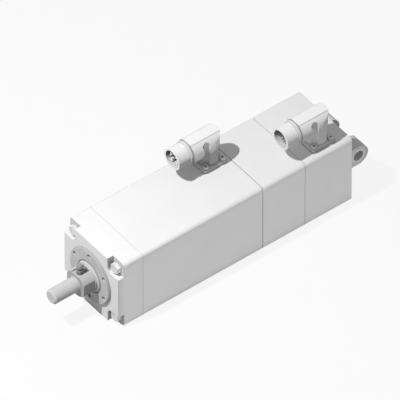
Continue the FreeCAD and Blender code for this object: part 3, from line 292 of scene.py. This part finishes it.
def axis_distance(tree, centre, axis):
    """How far a place is from a line through centre along axis, and how far along that line."""
    offset = vector_maths(tree, "SUBTRACT", place_coordinates(tree), centre)["Vector"]
    across = [0.0 if part else 1.0 for part in axis]
    flat = vector_maths(tree, "MULTIPLY", offset, across)["Vector"]
    radial = vector_maths(tree, "LENGTH", flat)["Value"]
    along = vector_maths(tree, "DOT_PRODUCT", offset, axis)["Value"]
    return radial, along


def turning_marks(tree, centre, pitch):
    """Fine grooves round the rod's direction: rings on end faces, a thread on round ones."""
    radial, along = axis_distance(tree, centre, ROD_AXIS)
    return sine_wave(tree, maths(tree, "ADD", radial, along), pitch)


def band(tree, value, start, end, soft):
    """One between start and end, falling to zero over the soft stretch outside them."""
    rise = to_range(tree, value, 0.0, 1.0, start - soft, start)
    fall = to_range(tree, value, 1.0, 0.0, end, end + soft)
    return multiply(tree, rise, fall)


def upright(tree, normal):
    """One on walls and undersides, zero on faces that look up."""
    return to_range(tree, normal["Z"], 1.0, 0.0, start=0.0, end=0.3)


def darken(tree, color, share, depth):
    """Blend a colour towards dark grey by the share, with depth at most: painted shade, or a
    joint line.
    """
    return blend_colors(tree, multiply(tree, share, depth), color, grey(SHADE_AND_JOINT_GREY))


# Shades: each gives a function that paints shade into a colour in a material's tree;
# the line at a station also draws the housing's dark joint lines

def painted_corner_shade(depth):
    """Painted shade in corners, joints and sockets, from ambient occlusion."""
    def apply(tree, color):
        cover = add_node(tree, "ShaderNodeAmbientOcclusion", samples=8)
        set_inputs(cover, Distance=CORNER_REACH)
        closed = to_range(tree, cover.outputs["AO"], 1.0, 0.0, start=0.35, end=0.85)
        return darken(tree, color, closed, depth)
    return apply


def painted_wall_shade(depth):
    """Painted shade: greyer walls and undersides, but not on faces that look along the rod."""
    def apply(tree, color):
        normal = normal_parts(tree)
        sideways = to_range(tree, magnitude(tree, normal["X"]), 1.0, 0.0, start=0.5, end=0.8)
        return darken(tree, color, multiply(tree, upright(tree, normal), sideways), depth)
    return apply


def painted_skirt_shade(low, high, depth):
    """Painted shade: greyer upright walls below a level, fading out above it."""
    def apply(tree, color):
        below = to_range(tree, place_parts(tree)["Z"], 1.0, 0.0, low, high)
        share = multiply(tree, upright(tree, normal_parts(tree)), below)
        return darken(tree, color, share, depth)
    return apply


def painted_facing_shade(part, start, end, depth):
    """Painted shade: darker faces that point along one part, X, Y or Z, of the object's own
    directions.
    """
    def apply(tree, color):
        facing = to_range(tree, normal_parts(tree)[part], 0.0, 1.0, start, end)
        return darken(tree, color, facing, depth)
    return apply


def painted_slot_shade(depth):
    """Painted shade on the floor of the rod's slot, between the nipple and the wiper."""
    def apply(tree, color):
        place = place_parts(tree)
        length = band(tree, place["X"], *SLOT_LENGTH, SLOT_END_FADE)
        floor = band(tree, place["Z"], *SLOT_FLOOR, SLOT_FADE)
        within = band(tree, magnitude(tree, place["Y"]), 0.0, SLOT_HALF_WIDTH, SLOT_FADE)
        share = multiply(tree, multiply(tree, length, floor), within)
        return darken(tree, color, share, depth)
    return apply


def painted_ring_shade(inner, outer, depth):
    """Painted shade: a dark ring between two distances from the rod's line."""
    def apply(tree, color):
        radial = axis_distance(tree, ORIGIN, ROD_AXIS)[0]
        return darken(tree, color, band(tree, radial, inner, outer, LINE_FADE), depth)
    return apply


def painted_hollow_shade(centre, ring, reach, depth, rest=0.0):
    """Painted shade on the walls inside holes and bores; walls that face up keep only the rest.
    """
    def apply(tree, color):
        radial = axis_distance(tree, centre, ROD_AXIS)[0]
        inside = multiply(tree, band(tree, radial, *ring, EDGE_FADE),
                          band(tree, place_parts(tree)["X"], *reach, HOLE_FADE))
        away = to_range(tree, normal_parts(tree)["Z"], 1.0, rest, start=0.1, end=0.6)
        return darken(tree, color, multiply(tree, inside, away), depth)
    return apply


def station_joint_and_shade(station, half_width, depth):
    """A dark line round a piece at one station on the rod's line: a joint on the housing, painted
    shade on a connector.
    """
    def apply(tree, color):
        near = band(tree, place_parts(tree)["X"], station - half_width, station + half_width,
                    STATION_FADE_SHARE * half_width)
        return darken(tree, color, near, depth)
    return apply


def painted_level_shade(low, high, depth, one_side=False):
    """Painted shade: a dark line along a piece between two levels, or only on its +Y side."""
    def apply(tree, color):
        share = band(tree, place_parts(tree)["Z"], low, high, LINE_FADE)
        if one_side:
            side = to_range(tree, normal_parts(tree)["Y"], 0.0, 1.0, start=0.0, end=0.2)
            share = multiply(tree, share, side)
        return darken(tree, color, share, depth)
    return apply


def painted_notch_shade(depth, wall_depth):
    """Painted shade in the four corner notches of the front flange, most of it on their outward
    walls.
    """
    def apply(tree, color):
        place = place_parts(tree)
        edge = NOTCH_START - EDGE_FADE
        share = band(tree, place["X"], -NOTCH_DEPTH - EDGE_FADE, -NOTCH_FRONT, EDGE_FADE)
        for part in ("Y", "Z"):
            beyond = band(tree, magnitude(tree, place[part]), edge, NOTCH_END, EDGE_FADE)
            share = multiply(tree, share, beyond)
        normal = normal_parts(tree)
        level = to_range(tree, normal["Z"], 1.0, 0.4, start=0.3, end=0.8)
        color = darken(tree, color, multiply(tree, share, level), depth)
        outward = to_range(tree, magnitude(tree, normal["Y"]), 0.0, 1.0, start=0.5, end=0.9)
        return darken(tree, color, multiply(tree, share, outward), wall_depth)
    return apply


def shaded(tree, color, shades):
    for shade in shades:
        color = shade(tree, color)
    return color


# Materials

def painted_metal(name, level, shades=()):
    """Matt powder coat: faint cloudiness, an orange-peel skin and broken edges."""
    material, tree, shader = new_material(name)
    cloud = noise(tree, CLOUD_SCALE, detail=3.0)
    color = cloudy_grey(tree, cloud, level, darker=0.012, lighter=0.012)
    satin = noise(tree, SATIN_SCALE, detail=5.0)
    skin = noise(tree, SKIN_SCALE, detail=2.0)
    edges = soft_edges(tree, PAINT_EDGE)
    link_inputs(shader, Base_Color=shaded(tree, color, shades),
                Roughness=to_range(tree, satin, 0.67, 0.77),
                Normal=bump(tree, skin, FINE_RELIEF, strength=0.06, base=edges))
    set_inputs(shader, Specular_IOR_Level=0.25)
    return material


def turned_metal(name, level, pitch, roughness, metallic=0.0, specular=0.25, centre=ORIGIN,
                 shades=()):
    """Machined metal with fine lathe marks and a little staining."""
    material, tree, shader = new_material(name)
    stain = noise(tree, STAIN_SCALE, detail=6.0)
    color = cloudy_grey(tree, stain, level, darker=0.03, lighter=0.02)
    marks = turning_marks(tree, centre, pitch)
    gloss = to_range(tree, marks, roughness - 0.04, roughness + 0.05,
                     start=-1.0, end=1.0)
    edges = soft_edges(tree, TURNED_EDGE)
    link_inputs(shader, Base_Color=shaded(tree, color, shades), Roughness=gloss,
                Normal=bump(tree, marks, FINE_RELIEF, strength=0.12, base=edges))
    set_inputs(shader, Metallic=metallic, Specular_IOR_Level=specular)
    return material


def ground_steel(name, level, roughness):
    """Bright bearing and shaft steel inside the housing."""
    return turned_metal(name, level, GROUND_PITCH, roughness, metallic=0.9, specular=0.5)


def rubber(name, level, shades=()):
    material, tree, shader = new_material(name)
    grain = noise(tree, RUBBER_SCALE, detail=6.0)
    color = cloudy_grey(tree, grain, level, darker=0.02, lighter=0.02)
    link_inputs(shader, Base_Color=shaded(tree, color, shades),
                Roughness=to_range(tree, grain, 0.62, 0.78),
                Normal=bump(tree, grain, RUBBER_RELIEF, strength=0.25))
    return material


def moulded_plastic(name, level):
    material, tree, shader = new_material(name)
    flow = noise(tree, FLOW_SCALE, detail=3.0)
    grain = noise(tree, MOULD_SCALE, detail=2.0)
    edges = soft_edges(tree, MOULDED_EDGE)
    color = cloudy_grey(tree, flow, level, darker=0.015, lighter=0.015)
    link_inputs(shader, Base_Color=color,
                Roughness=to_range(tree, grain, 0.40, 0.52),
                Normal=bump(tree, grain, FINE_RELIEF, strength=0.15, base=edges))
    return material


def plated_metal(name, color, roughness=0.5, metallic=0.0, shades=()):
    """Thin plating, with patches that are duller than the rest."""
    material, tree, shader = new_material(name)
    dull = noise(tree, PLATING_SCALE, detail=5.0)
    darker = tuple(DULL_PATCH_SHARE * part for part in color)
    plating = blend_colors(tree, to_range(tree, dull, 0.0, 1.0), darker, color)
    edges = soft_edges(tree, PLATED_EDGE)
    link_inputs(shader, Base_Color=shaded(tree, plating, shades),
                Roughness=to_range(tree, dull, roughness - 0.06, roughness + 0.1),
                Normal=bump(tree, dull, FINE_RELIEF, strength=0.1, base=edges))
    set_inputs(shader, Metallic=metallic)
    return material


def striped_metal(name, first, second, axis, pitch):
    """Layers along an axis, as in stacked laminations or wound wire."""
    material, tree, shader = new_material(name)
    wave = sine_wave(tree, axis_distance(tree, ORIGIN, axis)[1], pitch)
    stripes = to_range(tree, wave, 0.0, 1.0, start=-1.0, end=1.0)
    worn = noise(tree, WEAR_SCALE, detail=4.0)
    link_inputs(shader, Base_Color=blend_colors(tree, stripes, first, second),
                Roughness=to_range(tree, worn, 0.40, 0.55),
                Normal=bump(tree, wave, LAYER_RELIEF, strength=0.4))
    set_inputs(shader, Metallic=0.6)
    return material


# Finishes: each list holds pairs of a material and the CAD nodes that wear it

def housing_finishes():
    """Joints behind the housing's pieces, from faint to plain, and painted shade in the corners.
    """
    pieces = (("front_flange", 0.12), ("stator_housing", 0.36), ("bearing_housing", 0.25))
    joints = [station_joint_and_shade(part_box(piece)[0][0], JOINT_HALF_WIDTH, depth)
              for piece, depth in pieces]
    body = painted_metal("painted_body", level=0.80, shades=[
        *joints, painted_notch_shade(depth=0.25, wall_depth=0.32), painted_corner_shade(depth=0.3)])
    # The clevis gets painted shade on its Y faces and in its corners
    clevis = painted_metal("painted_clevis", level=0.68, shades=[
        painted_facing_shade("Y", start=0.5, end=0.9, depth=0.16), painted_corner_shade(depth=0.2)])
    return [
        (body, ["front_flange", "stator_housing", "bearing_housing", "rear_cover"]),
        (clevis, ["rear_clevis"]),
    ]


def gland_finish():
    """The round gland: painted shade on its rim, round the wiper, in its holes and in its
    corners.
    """
    gland = turned_metal("turned_gland", level=0.56, pitch=GLAND_PITCH, roughness=0.65, shades=[
        painted_ring_shade(GLAND_RIM, 2 * GLAND_RIM, depth=0.3), painted_ring_shade(*WIPER_GAP, depth=0.45),
        painted_hollow_shade(ORIGIN, HOLE_RING, (-HOLE_DEPTH, GLAND_FACE - MOUTH_INSET), depth=0.9),
        painted_corner_shade(depth=0.3)])
    return gland, ["rod_gland"]


def rod_finishes():
    # Painted shade on the rod's walls, end face and slot floor, and on the top of the stud
    rod = turned_metal("ground_rod", level=0.50, pitch=ROD_PITCH, roughness=0.6, shades=[
        painted_wall_shade(depth=0.35), painted_facing_shade("X", start=0.7, end=0.95, depth=0.15),
        painted_slot_shade(depth=0.5)])
    stud = turned_metal("turned_stud", level=0.60, pitch=STUD_PITCH, roughness=0.65,
                        specular=0.15, shades=[
                            painted_facing_shade("Z", start=0.3, end=0.9, depth=0.14)])
    return [(rod, ["piston_rod"]), (stud, ["rod_stud"])]


def nipple_finish():
    """Neck and seat of the grease nipple, darker than its head and hexagon: painted shade."""
    low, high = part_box("grease_nipple")
    height = high[2] - low[2]
    neck_low, neck_high = [low[2] + share * height for share in NIPPLE_NECK]
    nipple = plated_metal("nipple_steel", grey(0.30), shades=[
        painted_level_shade(low[2], low[2] + NIPPLE_SEAT * height, depth=0.8),
        painted_level_shade(neck_low, neck_high, depth=0.8)])
    return nipple, ["grease_nipple"]


def small_finishes():
    """Fasteners, bushes, seals, gaskets, inserts and contacts."""
    # Painted shade in the fasteners' corners and on the wiper's lip
    fastener = plated_metal("zinc_plated_steel", grey(0.80), shades=[painted_corner_shade(depth=0.75)])
    seal = rubber("seal_rubber", level=0.56, shades=[painted_ring_shade(*WIPER_LIP, depth=0.5)])
    gasket = rubber("gasket_rubber", level=0.25)
    plastic = moulded_plastic("insert_plastic", level=0.035)
    bright_pins = plated_metal("power_pins", grey(0.92, warm=0.02), roughness=0.4)
    # The signal contacts are a darker copy of the power contacts' plating: painted shade in their
    # bore
    shaded_pins = plated_metal("signal_pins", grey(0.30, warm=0.02), roughness=0.4)
    return [
        (fastener, ["flange_bolts", "tie_bolts", "clevis_screws",
                    "power_connector_screws", "signal_connector_screws"]),
        (plated_metal("bush_lining", grey(0.75)), ["guide_bush", "clevis_bushes"]),
        (seal, ["wiper_ring", "rod_seal"]),
        (gasket, ["stator_seal_ring", "rear_cover_seal_ring",
                  "power_connector_gasket", "signal_connector_gasket"]),
        (plastic, ["power_connector_insert", "signal_connector_insert"]),
        (bright_pins, ["power_connector_contacts"]),
        (shaded_pins, ["signal_connector_contacts"]),
    ]


def drive_finishes():
    """Windings, laminations, magnets and shafts inside the housing."""
    copper = striped_metal("wound_copper", COPPER_LIGHT, COPPER_DARK, WIRE_AXIS, WIRE_PITCH)
    core = striped_metal("stacked_laminations", grey(0.4), grey(0.3), ROD_AXIS,
                         LAMINATION_PITCH)
    magnet = plated_metal("nickel_plated_magnet", grey(0.35), roughness=0.35, metallic=0.9)
    shaft = ground_steel("ground_shaft_steel", level=0.62, roughness=0.3)
    return [
        (copper, ["front_winding", "rear_winding"]),
        (core, ["stator_core", "resolver_rotor", "resolver_stator"]),
        (magnet, ["rotor_magnets"]),
        (shaft, ["drive_screw", "screw_nut", "rotor_sleeve", "resolver_bracket"]),
    ]


def connector_centre(side):
    low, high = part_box(f"{side}_connector_barrel")
    return [(a + b) / 2 for a, b in zip(low, high)]


def elbow_coat(side, level, wall_depth):
    """Elbow coat with painted shade: greyer lower walls, a line under the roof and at its front
    edge.
    """
    height = connector_centre(side)[2]
    elbow_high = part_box(f"{side}_connector_elbow")[1]
    roof_low, roof_high = [elbow_high[2] - drop for drop in ROOF_LINE]
    return painted_metal(f"{side}_connector_coat", level, shades=[
        painted_skirt_shade(height - SKIRT_DROP, height + SKIRT_RISE, wall_depth),
        painted_level_shade(roof_low, roof_high, depth=0.32, one_side=True),
        station_joint_and_shade(elbow_high[0], ELBOW_JOINT_HALF_WIDTH, depth=0.2),
        painted_corner_shade(depth=0.5)])


def barrel_metal(side, level, wall_depth, bore_depth):
    """Turned barrel with painted shade: dark bore, and dark lines where the collar meets the
    elbow.
    """
    centre = connector_centre(side)
    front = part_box(f"{side}_connector_elbow")[1][0]
    barrel_low, barrel_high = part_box(f"{side}_connector_barrel")
    reach = (barrel_low[0], barrel_high[0] - MOUTH_INSET)
    marks = [station_joint_and_shade(front + gap, half_width, depth)
             for (gap, half_width), depth in ((COLLAR_JOINT, 0.5), (COLLAR_BAND, 0.15))]
    bore = painted_hollow_shade(centre, (0.0, BARREL_BORE), reach, bore_depth, rest=0.3)
    return turned_metal(f"{side}_barrel_metal", level, BARREL_PITCH, roughness=0.6,
                        centre=centre, shades=[
                            painted_wall_shade(wall_depth), painted_corner_shade(depth=0.5), *marks, bore])


def connector_finishes(side, level, wall_depth, bore_depth):
    """Coat of the elbow, coat of the base plate, and the turned barrel of one connector."""
    # The base plate is a darker copy of the elbow's coat, painted shade, with more on walls and
    # corners
    plate = painted_metal(f"{side}_connector_plate", level - PLATE_SHADE_STEP, shades=[
        painted_wall_shade(depth=0.5), painted_corner_shade(depth=0.4)])
    return [
        (elbow_coat(side, level, wall_depth), [f"{side}_connector_elbow"]),
        (plate, [f"{side}_connector_base"]),
        (barrel_metal(side, level, wall_depth, bore_depth), [
            f"{side}_connector_barrel", f"{side}_connector_collar",
            f"{side}_connector_swivel_ring"]),
    ]


def set_material(item, material):
    item.data.materials.clear()
    item.data.materials.append(material)


def dress_nodes():
    """Give every CAD node its material; those that no list names are bearing steel."""
    bearing = ground_steel("ground_bearing_steel", level=0.72, roughness=0.2)
    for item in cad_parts.values():
        set_material(item, bearing)
    finishes = [*housing_finishes(), gland_finish(), *rod_finishes(), nipple_finish(),
                *small_finishes(), *drive_finishes(),
                # Painted shade: the power connector gets greyer walls and a darker bore, the
                # signal a lighter coat
                *connector_finishes("power", level=0.85, wall_depth=0.52, bore_depth=0.85),
                *connector_finishes("signal", level=0.88, wall_depth=0.0, bore_depth=0.75)]
    for material, nodes in finishes:
        for node in nodes:
            set_material(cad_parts[node], material)


# Stage

def direction(azimuth, elevation):
    """Unit vector towards a place seen at this azimuth and elevation."""
    return Vector((math.sin(azimuth) * math.cos(elevation),
                   -math.cos(azimuth) * math.cos(elevation),
                   math.sin(elevation)))


def aim(item, target):
    item.rotation_euler = (target - item.location).to_track_quat("-Z", "Y").to_euler()


def place_item(name, data, place, target):
    """Put a camera or a lamp at a place and turn it to its target."""
    item = bpy.data.objects.new(name, data)
    item.location = place
    aim(item, target)
    bpy.context.collection.objects.link(item)
    return item


def add_camera():
    data = bpy.data.cameras.new("camera")
    data.lens = LENS_MM
    data.sensor_width = SENSOR_WIDTH_MM
    distance = FRAME_WIDTH * LENS_MM / SENSOR_WIDTH_MM
    data.clip_start = distance / 100
    data.clip_end = distance * 10
    place = CAMERA_TARGET + distance * direction(CAMERA_AZIMUTH, CAMERA_ELEVATION)
    bpy.context.scene.camera = place_item("camera", data, place, CAMERA_TARGET)


def add_lamp(name, place, target, power, spread):
    """A soft box whose grid holds its light within the spread."""
    data = bpy.data.lights.new(name, "AREA")
    data.energy = power
    data.spread = spread
    place_item(name, data, place, target)
    return data


def add_lamps():
    key = add_lamp("key_lamp", KEY_PLACE, KEY_TARGET, KEY_POWER, KEY_SPREAD)
    key.shape = "DISK"
    key.size = KEY_SIZE
    low, high = side_box()
    centre = Vector(((low[0] + high[0]) / 2, high[1], (low[2] + high[2]) / 2))
    place = centre + Vector((0.0, FILL_DISTANCE, 0.0))
    fill = add_lamp("fill_lamp", place, centre, FILL_POWER, FILL_SPREAD)
    fill.shape = "RECTANGLE"
    fill.size = high[0] - low[0]
    fill.size_y = high[2] - low[2]


def side_box():
    """From the clevis behind the housing to the flange's face in front."""
    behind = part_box("rear_clevis")[0]
    front_low, front_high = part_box("front_flange")
    return (behind[0], front_low[1], front_low[2]), front_high


def seen_directly(tree):
    """One for rays that show the background itself, by eye or through gloss."""
    rays = add_node(tree, "ShaderNodeLightPath").outputs
    seen = maths(tree, "MAXIMUM", rays["Is Camera Ray"], rays["Is Glossy Ray"])
    return maths(tree, "MAXIMUM", seen, rays["Is Transmission Ray"])


def add_world():
    world = bpy.data.worlds.new("studio")
    world.use_nodes = True
    tree = world.node_tree
    strength = to_range(tree, seen_directly(tree), AMBIENT, BACKDROP_GREY, start=0.0, end=1.0)
    background = set_inputs(tree.nodes["Background"], Color=WHITE)
    link_inputs(background, Strength=strength)
    bpy.context.scene.world = world


def floor_material():
    """Pale floor: mostly its own plain grey to the eye, with a share that takes shadows."""
    material, tree, shader = new_material("pale_floor")
    grain = noise(tree, FLOOR_SCALE, detail=4.0)
    color = cloudy_grey(tree, grain, FLOOR_LEVEL, darker=0.01, lighter=0.01)
    link_inputs(shader, Base_Color=color)
    set_inputs(shader, Roughness=0.9)
    shine = set_inputs(add_node(tree, "ShaderNodeEmission"), Color=WHITE, Strength=FLOOR_GLOW)
    mix = add_node(tree, "ShaderNodeMixShader")
    share = to_range(tree, seen_directly(tree), 0.0, 1.0 - FLOOR_SHADE_SHARE, start=0.0, end=1.0)
    sources = (share, shader.outputs["BSDF"], shine.outputs["Emission"])
    for socket, source in zip(mix.inputs, sources):
        feed(socket, source)
    link_inputs(tree.nodes["Material Output"], Surface=mix.outputs["Shader"])
    return material


def add_floor():
    half = FLOOR_SIZE / 2
    level = CAD_BOX[0][2]
    mesh = bpy.data.meshes.new("floor")
    corners = [(-half, -half, level), (half, -half, level), (half, half, level),
               (-half, half, level)]
    mesh.from_pydata(corners, [], [(0, 1, 2, 3)])
    floor = bpy.data.objects.new("floor", mesh)
    floor.data.materials.append(floor_material())
    bpy.context.collection.objects.link(floor)


dress_nodes()
add_world()
add_lamps()
add_floor()
add_camera()
bpy.context.scene.view_settings.view_transform = "Standard"
